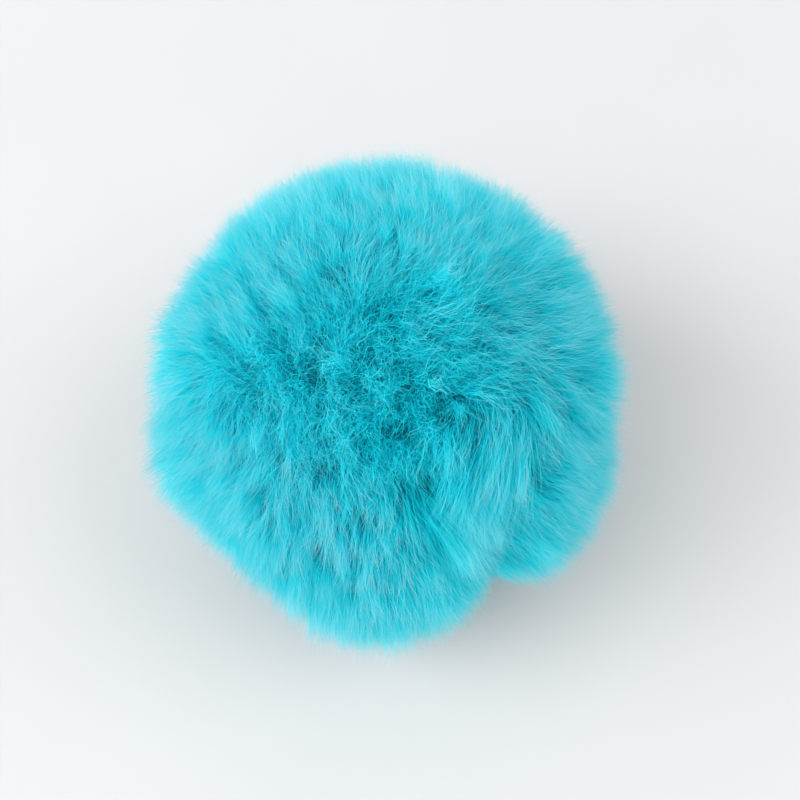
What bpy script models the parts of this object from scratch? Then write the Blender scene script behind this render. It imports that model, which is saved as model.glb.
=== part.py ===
"""A turquoise faux-fur pom pom, about 80 mm across, as one closed solid.

The solid reaches to the tips of the pile. It is a slightly squashed ball whose tufts stand out and
whose partings sink in, and the pile under it is pressed flat where it rests.
Units are metres, +Z is up, and the origin is at the centre of the base.
"""

import math
from collections import namedtuple

import bmesh
import bpy
from mathutils import Vector

# Driving dimensions of the ball, before its tufts.
HALF_WIDTH = 0.0395  # left to right, along X
HALF_DEPTH = 0.0410  # front to back, along Y
HALF_HEIGHT = 0.0365  # along Z
PRESSED_FLAT = 0.0045  # the pile that the ball's weight flattens under it
NEAR_BASE = 0.0003  # a corner this near the base plane is moved onto it

MILLIMETRE = 0.001
SURFACE_STEPS = 5  # how often the 20 faces of the round start are divided

# Tufts of longer or fuller pile. Azimuth runs counter-clockwise from +X seen from above and
# elevation is up from the equator, both in degrees; reach is how far the tuft stands out of the
# ball in millimetres, less than nothing where the pile is thin, and spread is its half width.
Tuft = namedtuple("Tuft", "azimuth elevation reach spread")
TUFTS = (
    Tuft(azimuth=0, elevation=-5, reach=-1.0, spread=12),
    Tuft(azimuth=35, elevation=18, reach=0.6, spread=22),
    Tuft(azimuth=85, elevation=30, reach=0.8, spread=14),
    Tuft(azimuth=130, elevation=25, reach=0.6, spread=18),
    Tuft(azimuth=174, elevation=8, reach=2.0, spread=20),
    Tuft(azimuth=-161, elevation=-12, reach=3.8, spread=15),
    Tuft(azimuth=-125, elevation=-22, reach=-1.8, spread=13),
    Tuft(azimuth=-95, elevation=-24, reach=4.4, spread=21),
    Tuft(azimuth=-30, elevation=-14, reach=2.8, spread=18),
    Tuft(azimuth=-80, elevation=28, reach=1.0, spread=22),
    Tuft(azimuth=150, elevation=55, reach=0.8, spread=25),
)

# Partings between tufts, each a groove along the shortest way from one direction to another,
# which deepens from nothing at its start to its full depth in millimetres at its end.
Parting = namedtuple("Parting", "azimuth elevation end_azimuth end_elevation depth spread")
PARTINGS = (
    Parting(azimuth=-88, elevation=56, end_azimuth=-56, end_elevation=-28, depth=4.6, spread=9),
    Parting(azimuth=-165, elevation=50, end_azimuth=-172, end_elevation=12, depth=1.2, spread=9),
    Parting(azimuth=-30, elevation=52, end_azimuth=-14, end_elevation=2, depth=1.4, spread=9),
)


def direction(azimuth, elevation):
    """The unit vector that points along an azimuth and an elevation in degrees."""
    turn, rise = math.radians(azimuth), math.radians(elevation)
    return Vector((math.cos(turn) * math.cos(rise), math.sin(turn) * math.cos(rise), math.sin(rise)))


def ball_radius(way):
    """How far the plain squashed ball reaches from its centre in the direction way."""
    return 1 / math.hypot(way.x / HALF_WIDTH, way.y / HALF_DEPTH, way.z / HALF_HEIGHT)


def soft_edge(angle, spread):
    """A smooth hump of height 1 that fades out over a spread in degrees."""
    return math.exp(-((math.degrees(angle) / spread) ** 2))


def tuft_rise(way, tuft):
    """How far a tuft lifts the pile in the direction way."""
    angle = way.angle(direction(tuft.azimuth, tuft.elevation))
    return tuft.reach * MILLIMETRE * soft_edge(angle, tuft.spread)


def parting_drop(way, parting):
    """How far a parting sinks the pile in the direction way."""
    start = direction(parting.azimuth, parting.elevation)
    end = direction(parting.end_azimuth, parting.end_elevation)
    along = max(0, min(1, (way - start).dot(end - start) / (end - start).length_squared))
    nearest = start.slerp(end, along)
    return parting.depth * MILLIMETRE * along * soft_edge(way.angle(nearest), parting.spread)


def pile_reach(way):
    """How far the pile reaches from the ball's centre in the direction way."""
    rise = sum(tuft_rise(way, tuft) for tuft in TUFTS)
    drop = sum(parting_drop(way, parting) for parting in PARTINGS)
    return ball_radius(way) + rise - drop


def shape_pile(mesh):
    """Moves each corner of a round mesh out or in to the reach of the pile."""
    for corner in mesh.verts:
        way = corner.co.normalized()
        corner.co = way * pile_reach(way)


def press_base_flat(mesh):
    """Cuts the underside to the flat spot that the ball rests on, and closes it with one face."""
    base = min(corner.co.z for corner in mesh.verts) + PRESSED_FLAT
    everything = [*mesh.verts, *mesh.edges, *mesh.faces]
    cut = bmesh.ops.bisect_plane(
        mesh,
        geom=everything,
        dist=NEAR_BASE,
        plane_co=(0, 0, base),
        plane_no=(0, 0, -1),
        clear_outer=True,
    )
    rim = [item for item in cut["geom_cut"] if isinstance(item, bmesh.types.BMEdge)]
    bmesh.ops.contextual_create(mesh, geom=rim)
    bmesh.ops.recalc_face_normals(mesh, faces=mesh.faces)
    for edge in rim:
        edge.smooth = False
        for corner in edge.verts:
            corner.co.z = base


def stand_on_origin(mesh):
    """Moves the ball so that the origin is under the middle of its box, at the base."""
    low = Vector([min(corner.co[axis] for corner in mesh.verts) for axis in range(3)])
    high = Vector([max(corner.co[axis] for corner in mesh.verts) for axis in range(3)])
    foot = Vector(((low.x + high.x) / 2, (low.y + high.y) / 2, low.z))
    bmesh.ops.translate(mesh, verts=mesh.verts, vec=-foot)


def turquoise_pile():
    """Dull, soft turquoise fur."""
    material = bpy.data.materials.new("turquoise pile")
    material.use_nodes = True
    surface = material.node_tree.nodes["Principled BSDF"]
    surface.inputs["Base Color"].default_value = (0.038, 0.52, 0.64, 1)
    surface.inputs["Roughness"].default_value = 0.9
    surface.inputs["Metallic"].default_value = 0
    surface.inputs["Sheen Weight"].default_value = 0.4
    return material


def pom_pom():
    """The whole ball of pile, as a new object."""
    mesh = bmesh.new()
    bmesh.ops.create_icosphere(mesh, subdivisions=SURFACE_STEPS, radius=HALF_WIDTH)
    shape_pile(mesh)
    press_base_flat(mesh)
    stand_on_origin(mesh)
    data = bpy.data.meshes.new("pom_pom")
    mesh.to_mesh(data)
    mesh.free()
    data.shade_smooth()
    data.materials.append(turquoise_pile())
    return bpy.data.objects.new("pom_pom", data)


def main():
    for old in list(bpy.data.objects):
        bpy.data.objects.remove(old)
    parts = bpy.data.collections.new("pom pom")
    bpy.context.scene.collection.children.link(parts)
    parts.objects.link(pom_pom())


main()
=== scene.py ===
"""A turquoise faux-fur pom pom on a pale floor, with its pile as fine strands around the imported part."""

import math
from collections import namedtuple

import bpy
import numpy as np
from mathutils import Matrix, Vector
from mathutils.bvhtree import BVHTree
from mathutils.kdtree import KDTree

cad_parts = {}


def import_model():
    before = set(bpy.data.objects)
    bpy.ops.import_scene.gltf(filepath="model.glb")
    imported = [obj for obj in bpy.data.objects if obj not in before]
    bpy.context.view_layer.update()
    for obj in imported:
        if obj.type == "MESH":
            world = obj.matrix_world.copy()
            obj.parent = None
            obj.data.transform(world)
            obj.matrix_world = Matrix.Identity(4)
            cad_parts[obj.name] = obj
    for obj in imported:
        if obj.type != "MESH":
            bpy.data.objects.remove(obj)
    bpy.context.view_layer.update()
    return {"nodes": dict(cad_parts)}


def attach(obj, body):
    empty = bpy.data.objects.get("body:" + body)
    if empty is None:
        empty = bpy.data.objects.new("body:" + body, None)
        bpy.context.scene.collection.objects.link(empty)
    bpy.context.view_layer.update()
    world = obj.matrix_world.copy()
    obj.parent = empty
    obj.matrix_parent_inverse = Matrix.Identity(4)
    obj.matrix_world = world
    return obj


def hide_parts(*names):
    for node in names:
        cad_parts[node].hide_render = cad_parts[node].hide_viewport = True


MM = 0.001
SEED = 20
NO_LENGTH = 1e-12  # keeps a vector without length from being divided by nothing
GOLDEN_ANGLE = math.pi * (3 - math.sqrt(5))

# The camera, as the photograph was taken: from the front, well above the ball.
CAMERA_RISE = math.radians(60)
CAMERA_DISTANCE = 0.189
CAMERA_LENS = 50.0
CAMERA_SENSOR = 36.0
CAMERA_STARTS_AT = 0.01  # how near to it things are still seen
CAMERA_TARGET = Vector((0.0028, -0.0017, 0.0335))
VIEW_RIGHT = np.array([1.0, 0.0, 0.0])
VIEW_UP = np.array([0.0, math.sin(CAMERA_RISE), math.cos(CAMERA_RISE)])
VIEW_NEAR = np.array([0.0, -math.cos(CAMERA_RISE), math.sin(CAMERA_RISE)])

# The light: round lamps that all point at the ball, and the sky.
Lamp = namedtuple("Lamp", "name place power")
LAMPS = (
    Lamp("key", (-1.30, -0.20, 0.80), 12.7),
    Lamp("high_key", (-1.00, -0.50, 1.20), 12.2),
    Lamp("front_fill", (-0.50, -1.20, 0.90), 3.3),
    Lamp("right_fill", (1.10, -0.20, 1.10), 8.8),
)
LAMP_SIZE = 1.2
LAMP_TARGET = Vector((0, 0, 0.02))
SKY_COLOUR = (0.985, 0.99, 1.0)
SKY_STRENGTH = 0.98

# The colours of the floor and the backing cloth, between which soft noise changes them.
FLOOR_COLOURS = ((0.495, 0.50, 0.505), (0.51, 0.515, 0.518))
FLOOR_NOISE = 14  # about how many spots of noise there are to a metre
FLOOR_SIZE = 12
# The backing cloth is darker than the hairs: painted shade in the gaps between them.
BACKING_SHADE_COLOURS = ((0.004, 0.16, 0.22), (0.010, 0.30, 0.38))
BACKING_NOISE = 900
NOISE_RANGE = (0.3, 0.7)  # how strong the noise is where it gives the first and the second colour

# The pile's colours at the backing, on the way out and outside, and what the colour of the darkest
# and the lightest hair is multiplied by. The darkness towards the backing is painted shade, and the
# paler outside colour is painted sheen.
PILE_SHADE_AND_SHEEN_COLOURS = ((0.003, 0.55, 0.68), (0.021, 0.885, 0.965), (0.47, 0.765, 0.81))
MIDDLE_COLOUR_AT = 0.70
DARKEST_HAIR = (0.15, 0.79, 0.82)
LIGHTEST_HAIR = (1.68, 1.02, 1.00)
GLOSS_FROM = 0.3  # how far out of the pile the gloss starts
LIGHT_THROUGH = 0.5  # how much of a hair's look is light that comes through it

# How far out of the pile a place on a hair looks by its colour, from 0 at the backing to 1 outside,
# which sets how much painted shade or painted sheen it has.
OUTSIDE = 1.03  # how far out the pile has its palest colour, as a share of its reach
ROOT_SHADE_DEPTH = 0.06  # painted shade: how much deeper a hair's root looks than its tip
TANGLED_SHADE_DEPTH = 0.06  # painted shade: how much deeper than they are the tangled hairs look
TUFT_SHADE_DEPTH = 0.10  # painted shade: and those of the big tuft

# The body of the pile.
BACKING_SHARE = 0.70  # how far out the backing cloth lies, as a share of the pile's reach
ROOT_SHARE = 0.97  # how far out in the backing the hairs are rooted, as a share of its size
TABLE_STEPS = 180  # steps round the ball in the table of the pile's reach
FLOOR_GAP = 0.15 * MM  # how far above the floor the lowest hairs stay

# The hairs stand together in fine locks, and the locks in larger clumps. A lean is how far a tip is
# moved aside in parts of its distance from the ball's centre, a reach is a share of the solid's, and
# a shade runs from 0 for the darkest hair to 1 for the lightest.
CLUMP_COUNT = 1800
LOCK_COUNT = 10000
CLUMP_JITTER = 0.35  # how unevenly the clumps are spread, in parts of the distance between them
LOCK_JITTER = 0.4
HAIR_JITTER = 0.6
CLUMP_LEAN = 0.034  # how much the clumps' leans, reaches and shades vary
CLUMP_REACH = 0.007
CLUMP_SHADE = 0.07
CLUMP_SHADE_LOST = 0.8  # how much of the last is lost where the tips are tangled
LOCK_FOLLOWS = 0.3  # how far a lock's tip is drawn to its clump's
MIDDLE_SHADE = 0.5
TANGLED_PAINTED_SHADE = 0.235  # painted shade: how much darker the locks are where the tips are tangled
SHADE_LIMITS = (0.02, 0.98)
CURLED_SHARE = 0.93  # how much of the smooth pile the curls take the place of where it is tangled
SCATTER_LIMIT = 1.7  # how far a random vector goes each way, in parts of the usual

# How much locks and hairs vary: on smooth pile, and what is added to that where it is tangled and
# where it is shaggy.
Amount = namedtuple("Amount", "smooth tangled shaggy", defaults=(0,))
LOCK_LEAN = Amount(0.035, 0.05)
LOCK_SHADE = Amount(0.068, 0.072, 0.05)
LOCK_REACH = Amount(0.011, 0.049, 0.018)
LOCK_BOW = Amount(0.6, 0.8)  # how far a lock's hairs bow aside, in millimetres
HAIR_SHADE = Amount(0.035, 0.065)
HAIR_HOOK = Amount(0.4, 1.4)  # how far a hair's end hooks aside, in millimetres

# What these values of a coat are multiplied by there.
STRAY_GROWS = Amount(1, 0.6)
GATHER_GROWS = Amount(1, 0.5, 0.4)
SHORT_GROWS = Amount(1, 1)
CURL_GROWS = Amount(1, 1)

# The shape of a hair along its length, which runs from 0 at its root to 1 at its tip.
BEND_AT = 0.55  # where it bends from the way it grows to its tip
CURL_RISE = 1.3  # how its curl grows with the length
HOOK_FROM = 0.4
KINKS_FROM = 0.3
TAPER = 0.75  # how much narrower its tip is
TURNS_RANGE = (0.6, 1.4)  # how the coat's turns, curl and width vary from hair to hair
CURL_RANGE = (0.3, 1.6)
WIDTH_RANGE = (0.6, 1.3)

# The UV map of the hairs. U is how light a hair is, and V how far out of the pile it looks, which
# gives its painted shade and painted sheen.
UV_NAME = "OFBake"
UV_HALF_WIDTH = 0.004  # how far a hair's sides are from its middle in U
UV_MARGIN = 0.02  # how far V stays from 0 and 1

# Places on the ball are given as the camera sees the pile's tips: to the right and up from the
# middle of the ball, in parts of its radius in the picture.
BALL_LEFT = 0.01875  # how far left of the picture's middle the ball is, in widths of the picture
BALL_RADIUS = 0.30  # in widths of the picture
PICTURE_SCALE = CAMERA_LENS / CAMERA_SENSOR / BALL_RADIUS

# How far the pile faces the camera runs from 1 to -1, where it faces away.
PATCHES_END = -0.2  # how far it does where its patches end

# How the pile is combed, as the photograph shows it. A stroke has a place and the lean that it
# gives the hairs whose tips are there.
Stroke = namedtuple("Stroke", "x y right up spread weight")
STROKES = (
    Stroke(0.05, 0.92, -0.40, 0.00, 0.15, 1.5),
    Stroke(0.33, 0.86, -0.25, 0.05, 0.12, 1.0),
    Stroke(-0.60, 0.62, 0.12, 0.10, 0.18, 1.0),
    Stroke(-0.25, 0.65, 0.22, 0.05, 0.20, 1.0),
    Stroke(-0.35, 0.54, -0.50, 0.10, 0.09, 1.5),
    Stroke(0.03, 0.60, 0.42, -0.05, 0.14, 1.5),
    Stroke(0.16, 0.70, 0.25, -0.05, 0.10, 1.0),
    Stroke(0.35, 0.58, -0.10, 0.00, 0.10, 1.0),
    Stroke(0.35, 0.74, -0.05, 0.10, 0.14, 1.0),
    Stroke(0.16, 0.36, 0.45, -0.42, 0.08, 2.0),
    Stroke(0.32, 0.39, 0.25, -0.10, 0.06, 1.5),
    Stroke(0.31, 0.55, 0.00, 0.00, 0.08, 1.5),
    Stroke(0.50, 0.37, 0.20, -0.32, 0.11, 1.5),
    Stroke(0.66, 0.38, 0.05, -0.30, 0.12, 1.0),
    Stroke(0.82, 0.34, 0.05, -0.05, 0.12, 1.0),
    Stroke(0.15, 0.22, 0.36, -0.22, 0.06, 1.5),
    Stroke(0.31, 0.21, 0.42, 0.22, 0.07, 1.5),
    Stroke(0.48, 0.20, 0.25, -0.35, 0.09, 1.0),
    Stroke(-0.86, 0.36, -0.15, -0.25, 0.10, 1.5),
    Stroke(-0.70, 0.34, 0.35, 0.60, 0.09, 1.5),
    Stroke(-0.69, 0.22, 0.42, 0.45, 0.07, 2.0),
    Stroke(-0.51, 0.24, 0.36, 0.38, 0.08, 1.5),
    Stroke(-0.34, 0.23, 0.20, 0.42, 0.08, 2.0),
    Stroke(-0.20, 0.38, 0.10, 0.15, 0.08, 1.5),
    Stroke(-0.18, 0.22, 0.00, 0.34, 0.07, 2.5),
    Stroke(-0.86, 0.04, 0.35, -0.50, 0.08, 1.5),
    Stroke(-0.68, 0.03, 1.00, -0.35, 0.08, 2.5),
    Stroke(-0.50, 0.03, 1.00, -0.40, 0.08, 2.5),
    Stroke(-0.34, 0.03, 1.05, -0.50, 0.08, 2.0),
    Stroke(-0.18, 0.04, 0.35, -0.38, 0.08, 1.5),
    Stroke(-0.02, 0.21, 0.36, -0.25, 0.07, 2.5),
    Stroke(-0.02, 0.04, -0.22, -0.40, 0.07, 2.5),
    Stroke(0.15, 0.07, 0.42, 0.02, 0.08, 1.5),
    Stroke(0.34, 0.05, 0.38, -0.10, 0.08, 2.0),
    Stroke(0.48, 0.05, 0.40, 0.00, 0.09, 1.5),
    Stroke(0.64, 0.05, 0.05, -0.42, 0.09, 1.5),
    Stroke(0.84, 0.08, 0.00, -0.20, 0.12, 1.0),
    Stroke(-0.84, -0.12, 0.80, -0.65, 0.12, 1.5),
    Stroke(-0.70, -0.14, 0.88, -0.60, 0.09, 1.5),
    Stroke(-0.55, -0.15, 1.00, -0.55, 0.08, 1.5),
    Stroke(-0.37, -0.14, 0.05, -0.50, 0.08, 2.0),
    Stroke(-0.18, -0.14, 0.00, -0.40, 0.08, 2.0),
    Stroke(-0.02, -0.14, -0.12, -0.42, 0.06, 2.0),
    Stroke(0.14, -0.14, -0.30, -0.40, 0.07, 2.0),
    Stroke(0.32, -0.14, -1.00, -0.50, 0.08, 2.5),
    Stroke(0.50, -0.18, -0.85, -0.60, 0.10, 2.0),
    Stroke(0.64, -0.15, -1.40, -1.00, 0.08, 3.0),
    Stroke(0.82, -0.14, -0.35, -0.55, 0.09, 1.5),
    Stroke(0.90, -0.32, 0.00, -0.12, 0.12, 1.0),
    Stroke(-0.86, -0.31, 0.00, -0.20, 0.10, 1.5),
    Stroke(-0.70, -0.48, 0.15, -0.30, 0.08, 1.0),
    Stroke(-0.52, -0.45, 0.50, -0.40, 0.12, 1.0),
    Stroke(-0.20, -0.31, 0.40, -0.35, 0.08, 1.5),
    Stroke(-0.02, -0.31, 0.10, -0.38, 0.07, 1.5),
    Stroke(0.15, -0.31, -0.05, -0.35, 0.07, 1.5),
    Stroke(-0.25, -0.45, 0.50, -0.32, 0.16, 1.0),
    Stroke(0.14, -0.48, 0.20, -0.25, 0.10, 1.5),
    Stroke(0.02, -0.64, 0.02, -0.10, 0.12, 1.0),
    Stroke(0.76, -0.36, 0.10, -0.05, 0.07, 1.5),
    Stroke(0.80, -0.46, 0.10, 0.06, 0.08, 2.0),
    Stroke(0.66, -0.46, -0.18, -0.20, 0.08, 1.5),
    Stroke(0.66, -0.64, 0.05, 0.04, 0.10, 2.0),
    Stroke(-0.45, -0.72, 0.32, -0.05, 0.20, 1.0),
    Stroke(-0.10, -0.82, 0.10, 0.00, 0.18, 1.0),
    Stroke(0.28, -0.64, 0.40, -0.05, 0.08, 1.5),
    Stroke(0.28, -0.80, 0.30, 0.00, 0.10, 1.5),
)
UNCOMBED_WEIGHT = 0.08
SAG = 0.5  # how far uncombed pile leans down
COMB_DEPTH = 0.22  # how far a lean of 1 moves a hair's tip, in parts of the radius
COMB_ROUNDS = 2  # how often the lean is read again where the tip has moved to
COMBED_FROM = -0.35  # how far the pile faces the camera where the strokes start to show
COMBED_OVER = 0.45  # and how much further it does where they are whole

# Round places where the pile is different, and how much.
Patch = namedtuple("Patch", "x y spread much")

# Where the tips are tangled.
TANGLES = (Patch(0.02, 0.07, 0.38, 1.0), Patch(-0.42, 0.08, 0.27, 0.5))
TANGLE_EDGE = 1.5  # how sharply a tangle ends, where 1 is a plain soft hump

# Where the pile parts into shaggy locks.
SHAGGY_PLACES = (Patch(-0.15, -0.68, 0.36, 1.0), Patch(0.36, -0.42, 0.22, 0.8))

# Painted light and shade: where the pile is paler, or darker where that is less than nothing.
LIGHT_AND_SHADE_PATCHES = (
    Patch(0.29, 0.50, 0.11, 0.35),
    Patch(0.41, -0.72, 0.07, 0.55),
    Patch(-0.84, 0.10, 0.16, 0.35),
    Patch(0.20, 0.88, 0.14, 0.15),
    Patch(0.75, -0.38, 0.12, 0.20),
    Patch(-0.62, 0.66, 0.12, -0.15),
    Patch(-0.42, -0.74, 0.14, -0.20),
    Patch(-0.24, -0.80, 0.09, -0.28),
    Patch(0.25, -0.61, 0.10, -0.28),
    Patch(0.45, -0.51, 0.06, -0.20),
    Patch(0.46, 0.00, 0.07, -0.25),
)

# The big tuft at the lower right, whose hairs hang down over the pile below and beside them. Their
# tips lie between these two edges, each given as (y, x) from the tuft's point up.
TUFT_LEFT = ((-0.84, 0.41), (-0.54, 0.229), (-0.125, 0.06))
TUFT_RIGHT = ((-0.84, 0.42), (-0.60, 0.51), (-0.375, 0.60), (-0.25, 0.70))
TUFT_POINT = -0.77
TUFT_TOP = -0.28
TUFT_FADE = 0.25  # how far under the top it takes for the tuft to be whole
TUFT_EDGE = 0.02  # how softly its edges start
TUFT_BLEND = 0.05  # how much more softly the left one does above its point
TUFT_BLEND_HEIGHTS = (-0.65, -0.40)  # from where that starts to where it is whole
TUFT_LEAST_WIDTH = 0.05  # which it counts as having where its edges meet
TUFT_REACH = 1.06  # how far out its hairs reach where its edges are read
TUFT_LIFT = 0.05  # how much further its hairs reach at its right edge
TUFT_FALL = 0.31  # how far down they hang
TUFT_DRIFT = 0.01  # and how far to the right
TUFT_INWARD = 0.33  # how far they are drawn to the middle, as a share of their distance from it
TUFT_TURN = 0.28  # how much further to the right those hang that grow below TUFT_TURN_AT
TUFT_TURN_AT = -0.25
TUFT_TURN_OVER = 0.15  # how far below it they are turned in full
UNDER_TUFT = 0.07  # how much shorter the pile under the tuft is
UNDER_HEIGHTS = (-0.75, -0.60)  # from where that starts to where it is whole
BESIDE_TUFT = 0.055  # how much shorter the pile is at the tuft's right edge
BESIDE_HEIGHTS = (-0.95, -0.75)  # from where that starts to where it is whole
BESIDE_SPREAD = 0.09  # how far from the edge it fades out

# Hollows in the pile, each along a line from one place to another: how much shorter it is there, or
# less than nothing where it is fuller.
Hollow = namedtuple("Hollow", "x y end_x end_y depth spread")
HOLLOWS = (
    Hollow(0.06, -0.10, 0.229, -0.54, 0.035, 0.05),
    Hollow(0.20, -0.54, 0.36, -0.72, 0.12, 0.06),
    Hollow(0.61, -0.25, 0.67, -0.41, 0.08, 0.05),
    Hollow(0.12, 0.12, 0.12, -0.12, 0.03, 0.12),
    Hollow(0.24, 0.44, 0.38, 0.58, -0.05, 0.09),
    Hollow(0.15, 0.48, 0.37, 0.39, -0.09, 0.07),
    Hollow(0.55, -0.74, 0.68, -0.66, -0.05, 0.08),
    Hollow(-0.95, 0.08, -0.95, 0.24, -0.03, 0.10),
    Hollow(0.97, -0.08, 0.97, 0.08, -0.02, 0.08),
    Hollow(-0.70, 0.06, -0.38, 0.12, -0.04, 0.09),
    Hollow(-0.72, 0.20, -0.60, 0.25, -0.04, 0.07),
    Hollow(-0.11, 0.12, 0.03, 0.02, -0.02, 0.06),
    Hollow(0.19, -0.03, 0.25, -0.06, -0.18, 0.05),
    Hollow(0.36, 0.03, 0.48, -0.04, 0.03, 0.05),
    Hollow(-0.42, 0.13, -0.28, 0.09, -0.10, 0.07),
    Hollow(-0.22, 0.13, -0.21, 0.19, 0.07, 0.05),
    Hollow(-0.10, -0.17, -0.05, -0.13, -0.05, 0.05),
    Hollow(0.05, -0.25, 0.05, -0.21, 0.08, 0.05),
    Hollow(0.38, 0.41, 0.46, 0.40, -0.05, 0.06),
    Hollow(-0.52, 0.42, -0.32, 0.46, -0.04, 0.06),
    Hollow(-0.04, 0.39, 0.04, 0.39, -0.08, 0.05),
    Hollow(0.05, 0.70, 0.05, 0.76, -0.04, 0.05),
    Hollow(-0.50, -0.42, -0.49, -0.36, -0.04, 0.05),
    Hollow(0.56, 0.01, 0.65, -0.16, -0.07, 0.06),
    Hollow(-0.15, -0.52, -0.14, -0.46, -0.04, 0.05),
    Hollow(-0.92, -0.30, -0.88, -0.38, -0.03, 0.07),
)

# A coat is one kind of hair.
Coat = namedtuple(
    "Coat",
    (
        "name",
        "pieces",  # how many meshes it is made of
        "strands",  # how many hairs a mesh has, before those are left out that are out of place
        "points",  # how many points a hair has
        "start",  # how far along it a hair starts to be built, since the rest is hidden
        "crowd",  # how closely its points crowd to its tip, where 1 spaces them evenly
        "reach",  # how far out the hairs reach, as a share of the solid's reach
        "short",  # how much shorter than that they commonly are
        "dip",  # how much shorter they are where the pile is tangled
        "width",  # in millimetres
        "curl",  # how far its curl stands out, in millimetres
        "turns",  # how often it curls round along its length
        "kink",  # how far it is kinked at each point, in millimetres
        "gather",  # how far its tip is drawn to its lock's, from 0 to 1
        "stray",  # how far it leans from its lock
        "place",  # the pile that it grows in: all of it, the smooth or the tangled
        "gloss",  # of the tips
        "pale",  # how far the tips go from the middle colour to the outside one, with its painted sheen
    ),
)
COATS = (
    Coat(
        name="undercoat",
        pieces=1,
        strands=24000,
        points=3,
        start=0.0,
        crowd=1.6,
        reach=0.93,
        short=0.07,
        dip=0.08,
        width=0.26,
        curl=0.5,
        turns=0.7,
        kink=0,
        gather=0.25,
        stray=0.05,
        place="all",
        gloss=0,
        pale=0.6,
    ),
    Coat(
        name="pile",
        pieces=5,
        strands=30500,
        points=4,
        start=0.50,
        crowd=1.2,
        reach=1.035,
        short=0.05,
        dip=0.05,
        width=0.088,
        curl=0.30,
        turns=1.3,
        kink=0.12,
        gather=0.50,
        stray=0.065,
        place="smooth",
        gloss=0.1,
        pale=1.0,
    ),
    Coat(
        name="curls",
        pieces=1,
        strands=230000,
        points=7,
        start=0.60,
        crowd=1.2,
        reach=1.01,
        short=0.06,
        dip=0,
        width=0.125,
        curl=0.36,
        turns=2.2,
        kink=0.28,
        gather=0.66,
        stray=0.11,
        place="tangled",
        gloss=0.06,
        pale=0.38,
    ),
    Coat(
        name="wisps",
        pieces=1,
        strands=8000,
        points=5,
        start=0.45,
        crowd=1.5,
        reach=1.06,
        short=0.035,
        dip=0.04,
        width=0.07,
        curl=0.3,
        turns=0.9,
        kink=0.1,
        gather=0.20,
        stray=0.055,
        place="smooth",
        gloss=0.2,
        pale=0.8,
    ),
)

# What is made for each clump, lock or hair, one row each. The tuft is how far it belongs to the big
# one, and the mess how tangled the pile is where it grows.
Clumps = namedtuple("Clumps", "ways tips leans reaches shades")
Locks = namedtuple("Locks", "ways tips leans reaches shades bows tuft")
Hairs = namedtuple("Hairs", "ways lock mess tuft")
Strands = namedtuple("Strands", "lines out shades")


def unit(vectors):
    """The vectors at length 1, along the last axis."""
    return vectors / np.maximum(np.linalg.norm(vectors, axis=-1, keepdims=True), NO_LENGTH)


def spread_directions(count, rng, jitter):
    """Directions spread evenly over a sphere, each moved a little at random."""
    index = np.arange(count) + 0.5
    z = 1 - 2 * index / count
    turn = index * GOLDEN_ANGLE
    ring = np.sqrt(1 - z * z)
    even = np.stack([ring * np.cos(turn), ring * np.sin(turn), z], 1)
    step = math.sqrt(4 * math.pi / count)
    return unit(even + rng.normal(0, jitter * step, even.shape))


def sideways(vectors, ways):
    """The part of each vector that is square to its direction."""
    return vectors - ways * np.sum(vectors * ways, -1, keepdims=True)


def scatter(like, rng):
    """Random vectors, none of them far longer than the rest."""
    return np.clip(rng.normal(0, 1, like.shape), -SCATTER_LIMIT, SCATTER_LIMIT)


def nearest(centres, ways):
    """For each direction, which of the centres is nearest."""
    tree = KDTree(len(centres))
    for index, centre in enumerate(centres):
        tree.insert(centre, index)
    tree.balance()
    return np.array([tree.find(way)[1] for way in ways])


def ramp_up(values, low, high):
    """0 below low, 1 above high and a smooth rise between."""
    t = np.clip((values - low) / (high - low), 0, 1)
    return t * t * (3 - 2 * t)


def amount_at(amount, mess, shaggy=0):
    """The amount where the pile is this tangled and this shaggy."""
    return amount.smooth + amount.tangled * mess + amount.shaggy * shaggy


def mesh_corners(mesh):
    """The places of a mesh's corners, one row each."""
    corners = np.empty(len(mesh.vertices) * 3, np.float32)
    mesh.vertices.foreach_get("co", corners)
    return corners.reshape(-1, 3)


def new_object(name, data):
    """A new object in the scene."""
    obj = bpy.data.objects.new(name, data)
    bpy.context.scene.collection.objects.link(obj)
    return obj


def tuft_edges(y):
    """The x of the big tuft's left and right edges at each height in the picture."""
    return tuple(np.interp(y, *zip(*edge)) for edge in (TUFT_LEFT, TUFT_RIGHT))


def under_tuft_top(y):
    """How far each height in the picture is under the top of the big tuft, from 0 to 1."""
    return ramp_up(TUFT_TOP - y, 0, TUFT_FADE)


def hung(ways, lean=0):
    """Where the tips of hairs point that hang down as the big tuft's do."""
    side = TUFT_DRIFT - TUFT_INWARD * (ways @ VIEW_RIGHT)
    side = side + TUFT_TURN * ramp_up(TUFT_TURN_AT - ways @ VIEW_UP, 0, TUFT_TURN_OVER)
    return unit(ways + lean + side[:, None] * VIEW_RIGHT - TUFT_FALL * VIEW_UP)


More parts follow.
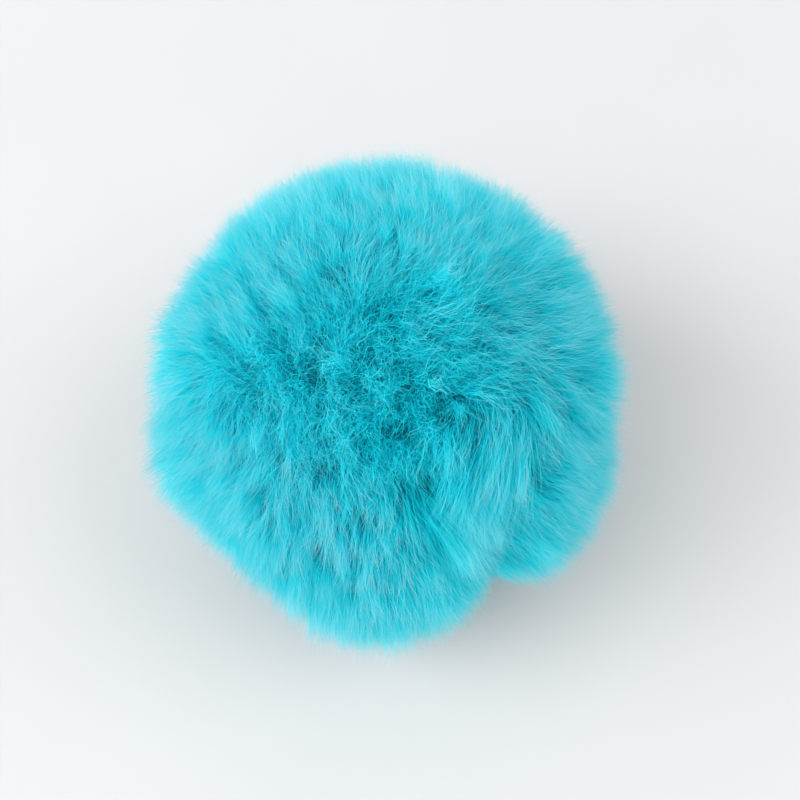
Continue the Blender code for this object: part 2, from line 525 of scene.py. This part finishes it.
class Pile:
    """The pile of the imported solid: how far it reaches and how it is combed in each direction."""

    def __init__(self, node):
        corners = mesh_corners(node.data)
        faces = [list(face.vertices) for face in node.data.polygons]
        self.centre = (corners.min(0) + corners.max(0)) / 2
        self.rows = TABLE_STEPS // 2 + 1
        self.table = self.measured(BVHTree.FromPolygons(corners.tolist(), faces))

    def measured(self, surface):
        """How far the surface is from the centre, in rows from straight down to straight up."""
        centre = Vector(self.centre)
        table = np.empty((self.rows, TABLE_STEPS))
        for row in range(self.rows):
            rise = math.pi * (row / (self.rows - 1) - 0.5)
            ring = math.cos(rise)
            for column in range(TABLE_STEPS):
                turn = 2 * math.pi * column / TABLE_STEPS
                way = Vector((ring * math.cos(turn), ring * math.sin(turn), math.sin(rise)))
                table[row, column] = surface.ray_cast(centre, way)[3]
        return table

    def reach(self, ways):
        """How far the solid reaches from its centre in each of the directions."""
        rise = np.arcsin(np.clip(ways[..., 2], -1, 1))
        row = (rise / math.pi + 0.5) * (self.rows - 1)
        column = np.arctan2(ways[..., 1], ways[..., 0]) / (2 * math.pi) % 1 * TABLE_STEPS
        row0 = np.minimum(row.astype(int), self.rows - 2)
        column0 = column.astype(int) % TABLE_STEPS
        column1 = (column0 + 1) % TABLE_STEPS
        up = row - row0
        across = column - np.floor(column)
        low = self.table[row0, column0] * (1 - across) + self.table[row0, column1] * across
        high = self.table[row0 + 1, column0] * (1 - across) + self.table[row0 + 1, column1] * across
        return low * (1 - up) + high * up

    def in_picture(self, ways, share=1.0):
        """Where the camera sees this share of the reach in each direction, and the scale there."""
        reach = self.reach(ways) * share
        place = self.centre + ways * reach[:, None] - np.array(CAMERA_TARGET)
        scale = PICTURE_SCALE / (CAMERA_DISTANCE - place @ VIEW_NEAR)
        x = place @ VIEW_RIGHT * scale + BALL_LEFT / BALL_RADIUS
        return x, place @ VIEW_UP * scale, scale * reach

    def combing(self, ways):
        """How the pile leans in each direction, square to it."""
        x, y, _ = self.in_picture(ways)
        seen = np.clip((ways @ VIEW_NEAR - COMBED_FROM) / COMBED_OVER, 0, 1)
        total = np.full(len(ways), UNCOMBED_WEIGHT)
        lean = np.outer(total, (0, 0, -SAG))
        for stroke in STROKES:
            off = (x - stroke.x) ** 2 + (y - stroke.y) ** 2
            near = seen * stroke.weight * np.exp(-off / (2 * stroke.spread**2))
            lean += np.outer(near, stroke.right * VIEW_RIGHT + stroke.up * VIEW_UP)
            total += near
        return sideways(lean / total[:, None], ways)

    def combed(self, ways, lean):
        """Where the tips of hairs point that grow in these directions, with a lean of their own."""
        tips = unit(ways + lean)
        for _ in range(COMB_ROUNDS):
            tips = unit(ways + lean + self.combing(tips) * COMB_DEPTH)
        return tips

    def patch_strengths(self, ways, patches, edge=1):
        """How strongly each of the patches shows in each direction."""
        x, y, _ = self.in_picture(ways)
        strengths = []
        for patch in patches:
            off = (x - patch.x) ** 2 + (y - patch.y) ** 2
            strengths.append(patch.much * np.exp(-((off / patch.spread**2) ** edge)))
        return strengths

    def tangle(self, ways):
        """How tangled the tips are in each direction, from 0 to 1."""
        mess = np.max(self.patch_strengths(ways, TANGLES, TANGLE_EDGE), axis=0)
        return mess * (ways @ VIEW_NEAR > 0)

    def shagginess(self, ways):
        """How far the pile parts into locks in each direction, from 0 to 1."""
        shaggy = np.max(self.patch_strengths(ways, SHAGGY_PLACES), axis=0)
        return shaggy * (ways @ VIEW_NEAR > PATCHES_END)

    def painted_light_and_shade(self, ways):
        """How much paler the painted light and shade of the patches makes the pile in each direction."""
        paler = sum(self.patch_strengths(ways, LIGHT_AND_SHADE_PATCHES))
        return paler * (ways @ VIEW_NEAR > PATCHES_END)

    def inside_tuft(self, tips):
        """How far inside the big tuft's edges each tip lies, from 0 to 1."""
        x, y, _ = self.in_picture(tips, TUFT_REACH)
        left, right = tuft_edges(y)
        soft = TUFT_BLEND * ramp_up(y, *TUFT_BLEND_HEIGHTS) + TUFT_EDGE
        inside = ramp_up(x - left, -soft, soft) * ramp_up(right - x, -TUFT_EDGE / 2, TUFT_EDGE)
        return inside * under_tuft_top(y) * (tips @ VIEW_NEAR > 0)

    def tuft_lift(self, tips):
        """How much further the big tuft reaches, which grows from its left edge to its right one."""
        x, y, _ = self.in_picture(tips, TUFT_REACH)
        left, right = tuft_edges(y)
        return TUFT_LIFT * np.clip((x - left) / np.maximum(right - left, TUFT_LEAST_WIDTH), 0, 1)

    def beside_tuft(self, tips):
        """How near each tip is to the big tuft's right edge, from outside it."""
        x, y, _ = self.in_picture(tips)
        out = x - tuft_edges(y)[1]
        near = ramp_up(out, -TUFT_EDGE, TUFT_EDGE) * np.exp(-np.maximum(out, 0) / BESIDE_SPREAD)
        return near * under_tuft_top(y) * ramp_up(y, *BESIDE_HEIGHTS) * (tips @ VIEW_NEAR > 0)

    def under_tuft(self, tips):
        """How far under the big tuft each tip lies, except at the ball's outline."""
        y = self.in_picture(tips)[1]
        return self.inside_tuft(tips) * ramp_up(y, *UNDER_HEIGHTS)

    def with_tuft(self, ways, lean, tips, share):
        """The tips with those of the big tuft hanging down between its edges."""
        low = hung(ways, lean)
        x, y, scale = self.in_picture(low, TUFT_REACH)
        across = np.minimum(tuft_edges(y)[1] - x, 0) / scale
        up = np.maximum(TUFT_POINT - y, 0) / scale
        low = unit(low + np.outer(across, VIEW_RIGHT) + np.outer(up, VIEW_UP))
        return unit(tips + (low - tips) * share[:, None])

    def hollow_depth(self, tips):
        """How much shorter the pile is in each direction because of the hollows."""
        x, y, _ = self.in_picture(tips)
        depth = np.zeros(len(tips))
        for hollow in HOLLOWS:
            run, rise = hollow.end_x - hollow.x, hollow.end_y - hollow.y
            along = ((x - hollow.x) * run + (y - hollow.y) * rise) / (run * run + rise * rise)
            along = np.clip(along, 0, 1)
            off = (x - hollow.x - run * along) ** 2 + (y - hollow.y - rise * along) ** 2
            depth += hollow.depth * np.exp(-off / hollow.spread**2)
        return depth * (tips @ VIEW_NEAR > 0)


def make_clumps(pile, rng):
    """The clumps that the locks of the pile stand in."""
    ways = spread_directions(CLUMP_COUNT, rng, CLUMP_JITTER)
    lean = sideways(rng.normal(0, CLUMP_LEAN, ways.shape), ways)
    reach = rng.normal(0, 1, len(ways)) * CLUMP_REACH
    shade = rng.normal(0, CLUMP_SHADE, len(ways)) * (1 - CLUMP_SHADE_LOST * pile.tangle(ways))
    return Clumps(ways, pile.combed(ways, lean), lean, reach, shade)


def make_locks(pile, rng):
    """The fine locks of the pile, which follow their clumps."""
    clumps = make_clumps(pile, rng)
    ways = spread_directions(LOCK_COUNT, rng, LOCK_JITTER)
    mine = nearest(clumps.ways, ways)
    mess = pile.tangle(ways)
    lean = sideways(scatter(ways, rng), ways) * amount_at(LOCK_LEAN, mess)[:, None]
    lean = clumps.leans[mine] + lean
    tips = pile.combed(ways, lean)
    tips = unit(tips + (clumps.tips[mine] - tips) * LOCK_FOLLOWS)
    tuft = pile.inside_tuft(hung(ways))
    tips = pile.with_tuft(ways, lean, tips, tuft)
    shaggy = pile.shagginess(tips)
    # Painted light and shade from the patches, and painted shade where the tips are tangled.
    shade = MIDDLE_SHADE + pile.painted_light_and_shade(tips) + clumps.shades[mine] - TANGLED_PAINTED_SHADE * mess
    shade = shade + rng.normal(0, 1, len(ways)) * amount_at(LOCK_SHADE, mess, shaggy)
    reach = rng.normal(0, 1, len(ways)) * amount_at(LOCK_REACH, mess, shaggy)
    reach = clumps.reaches[mine] + reach + pile.tuft_lift(tips) * tuft
    bow = sideways(rng.normal(0, 1, ways.shape), ways) * amount_at(LOCK_BOW, mess)[:, None] * MM
    return Locks(ways, tips, lean, reach, shade, bow, tuft)


def grow_hairs(coat, pile, locks, rng):
    """Where the hairs of a piece of a coat grow, and the lock of each."""
    ways = spread_directions(coat.strands, rng, HAIR_JITTER)
    draw = rng.uniform(0, 1, len(ways))
    if coat.place == "tangled":
        ways = ways[draw < pile.tangle(ways)]
    if coat.place == "smooth":
        ways = ways[draw > pile.tangle(ways) * CURLED_SHARE]
    lock = nearest(locks.ways, ways)
    return Hairs(ways, lock, pile.tangle(ways), locks.tuft[lock])


def hair_tips(coat, pile, locks, hairs, rng):
    """Where the tips of the hairs point, drawn together with the rest of their lock."""
    stray = scatter(hairs.ways, rng) * coat.stray * amount_at(STRAY_GROWS, hairs.mess)[:, None]
    lean = locks.leans[hairs.lock] + sideways(stray, hairs.ways)
    own = pile.with_tuft(hairs.ways, lean, pile.combed(hairs.ways, lean), hairs.tuft)
    gather = coat.gather * amount_at(GATHER_GROWS, hairs.mess, pile.shagginess(own))[:, None]
    return unit(own + (locks.tips[hairs.lock] - own) * gather)


def hair_reach(coat, pile, locks, hairs, tips, hollow, rng):
    """How far out the hairs reach, as a share of the solid's reach."""
    short = np.abs(rng.normal(0, 1, len(tips))) * coat.short * amount_at(SHORT_GROWS, hairs.mess)
    beside = BESIDE_TUFT * pile.beside_tuft(tips) + UNDER_TUFT * pile.under_tuft(tips)
    sunk = (hollow + beside) * (1 - hairs.tuft)
    return coat.reach + locks.reaches[hairs.lock] - short - sunk - coat.dip * hairs.mess


def places_along(coat):
    """How far along a hair its points are."""
    even = np.linspace(0, 1, coat.points)
    return coat.start + (1 - coat.start) * (1 - (1 - even) ** coat.crowd)


def arcs(start, bend, end, along):
    """Points along smooth arcs from start to end, which head for bend first."""
    t = along[None, :, None]
    return start[:, None] * (1 - t) ** 2 + bend[:, None] * 2 * t * (1 - t) + end[:, None] * t**2


def curled(lines, heading, coat, along, mess, rng):
    """The lines with each hair curling round its own way."""
    each = (len(lines), 1)
    side = unit(np.cross(heading, rng.normal(0, 1, heading.shape)))
    other = np.cross(heading, side)
    phase = rng.uniform(0, 2 * math.pi, each)
    turns = coat.turns * rng.uniform(*TURNS_RANGE, each)
    size = coat.curl * MM * rng.uniform(*CURL_RANGE, each)
    size = size * amount_at(CURL_GROWS, mess)[:, None] * along**CURL_RISE
    angle = 2 * math.pi * turns * along + phase
    lines = lines + (size * np.cos(angle))[..., None] * side[:, None]
    return lines + (size * np.sin(angle))[..., None] * other[:, None]


def hooked(lines, heading, along, mess, rng):
    """The lines with the end of each hair hooked aside."""
    hook = sideways(scatter(heading, rng), heading) * amount_at(HAIR_HOOK, mess)[:, None] * MM
    share = np.clip(along - HOOK_FROM, 0, 1) / (1 - HOOK_FROM)
    return lines + hook[:, None] * share[None, :, None] ** 2


def kinked(lines, coat, along, rng):
    """The lines with each hair turning a little at random from point to point."""
    free = along > max(KINKS_FROM, coat.start)
    kinks = rng.normal(0, 1, lines.shape) * coat.kink * MM * free[None, :, None]
    return lines + np.cumsum(kinks, axis=1)


def out_of_pile(lines, pile, hairs, hollow, along):
    """How far out of the pile each point of the hairs looks, from 0 to 1, which sets its painted shade."""
    fuller = 1 + np.maximum(-hollow, 0)[:, None]
    share = np.linalg.norm(lines, axis=2) / (pile.reach(unit(lines)) * fuller)
    out = np.minimum((share - BACKING_SHARE) / (OUTSIDE - BACKING_SHARE), 1)
    out = out - TUFT_SHADE_DEPTH * hairs.tuft[:, None] - ROOT_SHADE_DEPTH * (1 - along)
    return np.clip(out - TANGLED_SHADE_DEPTH * hairs.mess[:, None], 0, 1)


def strand_paths(coat, pile, locks, rng):
    """The strands of a piece of a coat.

    These are the points along each strand, how far out of the pile each of them looks, and how
    light each strand is.
    """
    hairs = grow_hairs(coat, pile, locks, rng)
    tips = hair_tips(coat, pile, locks, hairs, rng)
    hollow = pile.hollow_depth(tips)
    far = hair_reach(coat, pile, locks, hairs, tips, hollow, rng)
    start = (pile.reach(hairs.ways) * BACKING_SHARE * ROOT_SHARE)[:, None] * hairs.ways
    end = (pile.reach(tips) * far)[:, None] * tips
    length = np.linalg.norm(end - start, axis=1)
    bend = start + hairs.ways * (length * BEND_AT)[:, None] + locks.bows[hairs.lock]
    heading = unit(end - start)
    along = places_along(coat)
    lines = arcs(start, bend, end, along)
    lines = curled(lines, heading, coat, along, hairs.mess, rng)
    lines = hooked(lines, heading, along, hairs.mess, rng)
    lines = kinked(lines, coat, along, rng)
    shade = rng.normal(0, 1, len(tips)) * amount_at(HAIR_SHADE, hairs.mess)
    shade = np.clip(locks.shades[hairs.lock] + shade, *SHADE_LIMITS)
    return Strands(lines + pile.centre, out_of_pile(lines, pile, hairs, hollow, along), shade)


def ribbon_corners(lines, coat, rng):
    """The corners of a narrow ribbon along each line: two at each point and one at its tip."""
    count, points, _ = lines.shape
    tangent = unit(np.gradient(lines, axis=1))
    side = unit(np.cross(tangent, rng.normal(0, 1, (count, 1, 3))))
    half = coat.width * MM / 2 * rng.uniform(*WIDTH_RANGE, (count, 1))
    half = half * (1 - TAPER * places_along(coat) ** 2)
    corners = np.empty((count, 2 * points - 1, 3), np.float32)
    corners[:, 0:-1:2] = (lines - side * half[..., None])[:, :-1]
    corners[:, 1:-1:2] = (lines + side * half[..., None])[:, :-1]
    corners[:, -1] = lines[:, -1]
    return corners


def ribbon_faces(points):
    """The corners of each face of one ribbon, face after face, and how many each face has."""
    quads = points - 2
    corners = []
    for k in range(quads):
        corners += [2 * k, 2 * k + 1, 2 * k + 3, 2 * k + 2]
    corners += [2 * quads, 2 * quads + 1, 2 * quads + 2]
    return np.array(corners), np.array([4] * quads + [3])


def ribbon_uv(strands, pattern):
    """The UV of each corner of each face of the ribbons."""
    count, points = strands.out.shape
    across = np.array([-1, 1] * (points - 1) + [0]) * UV_HALF_WIDTH
    out = np.concatenate([np.repeat(strands.out[:, :-1], 2, axis=1), strands.out[:, -1:]], axis=1)
    uv = np.empty((count, len(pattern), 2), np.float32)
    uv[..., 0] = strands.shades[:, None] + across[pattern]
    uv[..., 1] = UV_MARGIN + (1 - 2 * UV_MARGIN) * out[:, pattern]
    return uv


def ribbon_mesh(name, coat, strands, rng):
    """One mesh of ribbons, each along a strand and ending in a point."""
    lines = strands.lines
    lines[..., 2] = np.maximum(lines[..., 2], FLOOR_GAP)
    corners = ribbon_corners(lines, coat, rng)
    count, each, _ = corners.shape
    pattern, sizes = ribbon_faces(coat.points)
    loops = (np.arange(count)[:, None] * each + pattern).astype(np.int32).ravel()
    totals = np.tile(sizes, count).astype(np.int32)
    starts = np.concatenate([[0], np.cumsum(totals)[:-1]]).astype(np.int32)
    mesh = bpy.data.meshes.new(name)
    mesh.vertices.add(count * each)
    mesh.vertices.foreach_set("co", corners.ravel())
    mesh.loops.add(len(loops))
    mesh.loops.foreach_set("vertex_index", loops)
    mesh.polygons.add(len(totals))
    mesh.polygons.foreach_set("loop_start", starts)
    mesh.uv_layers.new(name=UV_NAME)
    mesh.uv_layers[UV_NAME].data.foreach_set("uv", ribbon_uv(strands, pattern).ravel())
    mesh.polygons.foreach_set("use_smooth", np.ones(len(totals), bool))
    mesh.update()
    mesh.validate()
    return new_object(name, mesh)


def new_material(name, roughness):
    """A new material, and its surface shader."""
    material = bpy.data.materials.new(name)
    material.use_nodes = True
    surface = material.node_tree.nodes["Principled BSDF"]
    surface.inputs["Roughness"].default_value = roughness
    return material, surface


def coloured(tree, value, stops):
    """The colours that a value stands for, with stops as (value, colour) from 0 up."""
    ramp = tree.nodes.new("ShaderNodeValToRGB")
    elements = ramp.color_ramp.elements
    for element, (position, colour) in zip(elements, (stops[0], stops[-1])):
        element.position = position
        element.color = (*colour, 1)
    for position, colour in stops[1:-1]:
        elements.new(position).color = (*colour, 1)
    tree.links.new(value, ramp.inputs["Fac"])
    return ramp.outputs["Color"]


def noisy_colour(material, surface, fineness, colours):
    """Makes a material's colour change softly between two colours."""
    tree = material.node_tree
    coords = tree.nodes.new("ShaderNodeTexCoord")
    noise = tree.nodes.new("ShaderNodeTexNoise")
    noise.inputs["Scale"].default_value = fineness
    tree.links.new(coords.outputs["Object"], noise.inputs["Vector"])
    colour = coloured(tree, noise.outputs["Fac"], tuple(zip(NOISE_RANGE, colours)))
    tree.links.new(colour, surface.inputs["Base Color"])


def glossy_tips(tree, surface, out, gloss):
    """Makes a surface glossier the further out of the pile it is."""
    shine = tree.nodes.new("ShaderNodeMapRange")
    shine.interpolation_type = "SMOOTHSTEP"
    shine.inputs["From Min"].default_value = GLOSS_FROM
    shine.inputs["To Max"].default_value = gloss
    tree.links.new(out, shine.inputs["Value"])
    tree.links.new(shine.outputs["Result"], surface.inputs["Specular IOR Level"])


def multiplied(tree, first, second):
    """The product of two colours."""
    product = tree.nodes.new("ShaderNodeMix")
    product.data_type = "RGBA"
    product.blend_type = "MULTIPLY"
    product.inputs["Factor"].default_value = 1
    tree.links.new(first, product.inputs["A"])
    tree.links.new(second, product.inputs["B"])
    return product.outputs["Result"]


def fur_material(coat):
    """Turquoise hair: painted shade at the root, painted sheen outside, light and dark hairs."""
    material, surface = new_material(f"{coat.name}_fur", roughness=0.5)
    tree = material.node_tree
    uv = tree.nodes.new("ShaderNodeUVMap")
    uv.uv_map = UV_NAME
    split = tree.nodes.new("ShaderNodeSeparateXYZ")
    tree.links.new(uv.outputs["UV"], split.inputs[0])
    light, out = split.outputs["X"], split.outputs["Y"]
    root, middle, outside = PILE_SHADE_AND_SHEEN_COLOURS
    tip = [inner + (outer - inner) * coat.pale for inner, outer in zip(middle, outside)]
    # Painted shade deep in the pile and painted sheen outside.
    shade_and_sheen_colour = coloured(tree, out, ((0, root), (MIDDLE_COLOUR_AT, middle), (1, tip)))
    hair_colour = coloured(tree, light, ((0, DARKEST_HAIR), (1, LIGHTEST_HAIR)))
    colour = multiplied(tree, shade_and_sheen_colour, hair_colour)
    tree.links.new(colour, surface.inputs["Base Color"])
    glossy_tips(tree, surface, out, coat.gloss)
    through = tree.nodes.new("ShaderNodeBsdfTranslucent")
    tree.links.new(colour, through.inputs["Color"])
    both = tree.nodes.new("ShaderNodeMixShader")
    both.inputs["Fac"].default_value = LIGHT_THROUGH
    tree.links.new(surface.outputs[0], both.inputs[1])
    tree.links.new(through.outputs[0], both.inputs[2])
    tree.links.new(both.outputs[0], tree.nodes["Material Output"].inputs["Surface"])
    return material


def backing_material():
    """Dull turquoise cloth, darker than the hairs: painted shade in the gaps between them."""
    material, surface = new_material("backing_cloth", roughness=0.95)
    noisy_colour(material, surface, BACKING_NOISE, BACKING_SHADE_COLOURS)
    return material


def floor_material():
    """A pale, nearly plain surface."""
    material, surface = new_material("pale_floor", roughness=0.7)
    surface.inputs["Specular IOR Level"].default_value = 0.2
    noisy_colour(material, surface, FLOOR_NOISE, FLOOR_COLOURS)
    return material


def backing(node, pile):
    """The stuffed ball of backing cloth that the pile grows from."""
    mesh = node.data.copy()
    mesh.name = "backing"
    corners = (mesh_corners(mesh) - pile.centre) * BACKING_SHARE + pile.centre
    mesh.vertices.foreach_set("co", corners.astype(np.float32).ravel())
    mesh.materials.clear()
    mesh.materials.append(backing_material())
    mesh.update()
    return new_object("backing", mesh)


def floor():
    """The floor that the ball rests on."""
    bpy.ops.mesh.primitive_plane_add(size=FLOOR_SIZE)
    plane = bpy.context.object
    plane.name = "floor"
    plane.data.materials.append(floor_material())


def area_light(lamp):
    """A round lamp that points at the ball."""
    light = bpy.data.lights.new(lamp.name, "AREA")
    light.shape = "DISK"
    light.size = LAMP_SIZE
    light.energy = lamp.power
    place = Vector(lamp.place)
    obj = new_object(lamp.name, light)
    obj.location = place
    obj.rotation_euler = (LAMP_TARGET - place).to_track_quat("-Z", "Y").to_euler()


def studio():
    """The light of a plain pale studio, and how the picture shows it."""
    scene = bpy.context.scene
    world = bpy.data.worlds.new("studio")
    scene.world = world
    world.use_nodes = True
    sky = world.node_tree.nodes["Background"]
    sky.inputs["Color"].default_value = (*SKY_COLOUR, 1)
    sky.inputs["Strength"].default_value = SKY_STRENGTH
    for lamp in LAMPS:
        area_light(lamp)
    scene.view_settings.view_transform = "Standard"
    scene.view_settings.look = "None"


def camera():
    """The camera, where the photograph was taken from."""
    data = bpy.data.cameras.new("camera")
    data.lens = CAMERA_LENS
    data.sensor_width = CAMERA_SENSOR
    data.clip_start = CAMERA_STARTS_AT
    obj = new_object("camera", data)
    away = Vector(VIEW_NEAR)
    obj.location = CAMERA_TARGET + away * CAMERA_DISTANCE
    obj.rotation_euler = (-away).to_track_quat("-Z", "Y").to_euler()
    bpy.context.scene.camera = obj


def fur(pile, rng):
    """All the pile's coats, each in one or more pieces."""
    locks = make_locks(pile, rng)
    for coat in COATS:
        material = fur_material(coat)
        for piece in range(coat.pieces):
            strands = strand_paths(coat, pile, locks, rng)
            obj = ribbon_mesh(f"{coat.name}_{piece + 1}", coat, strands, rng)
            obj.data.materials.append(material)
            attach(obj, "root")


def main():
    """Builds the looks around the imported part."""
    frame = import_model()
    studio()
    camera()
    floor()
    node = frame["nodes"]["pom_pom"]
    pile = Pile(node)
    core = backing(node, pile)
    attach(core, "root")
    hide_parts("pom_pom")
    fur(pile, np.random.default_rng(SEED))


main()
